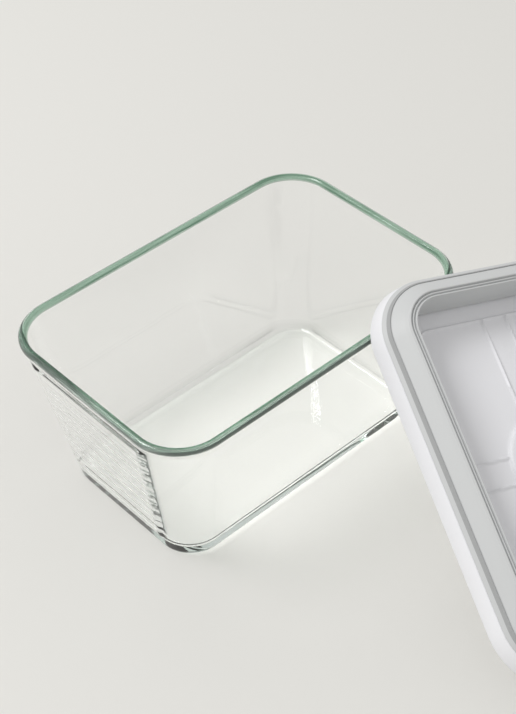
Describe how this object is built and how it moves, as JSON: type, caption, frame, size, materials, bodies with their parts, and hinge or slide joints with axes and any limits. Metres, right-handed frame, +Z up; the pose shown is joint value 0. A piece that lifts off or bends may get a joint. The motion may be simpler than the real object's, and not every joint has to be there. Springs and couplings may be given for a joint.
{
  "type": "butter dish",
  "caption": "Deep glass butter dish with a flared rim bead and grip ribs, and a push-on lid with an elastomer seal, set down leaning on the rim.",
  "frame": {"origin": "centre of the dish's flat base", "axes": "+Z up out of the dish, +X along the dish's long side away from the ribbed end, +Y across it away from the side the lid leans on"},
  "size_m": [0.2272, 0.2914, 0.104],
  "materials": {
    "clear_glass": "clear, faintly green, fire-polished rim",
    "white_plastic": "satin",
    "grey_elastomer": "matt, moulded"
  },
  "bodies": {
    "dish": {"glass_dish": "clear_glass"},
    "lid": {"lid_shell": "white_plastic"},
    "gasket": {"lid_gasket": "grey_elastomer"}
  },
  "joints": [
    {"name": "lid_lift", "type": "slide", "parent": "dish", "child": "lid", "axis": [0, 0, 1], "range_m": [0, 0.12]},
    {"name": "gasket_pull", "type": "slide", "parent": "lid", "child": "gasket", "axis": [0, -0.4585, 0.8887], "range_m": [0, 0.025]}
  ]
}
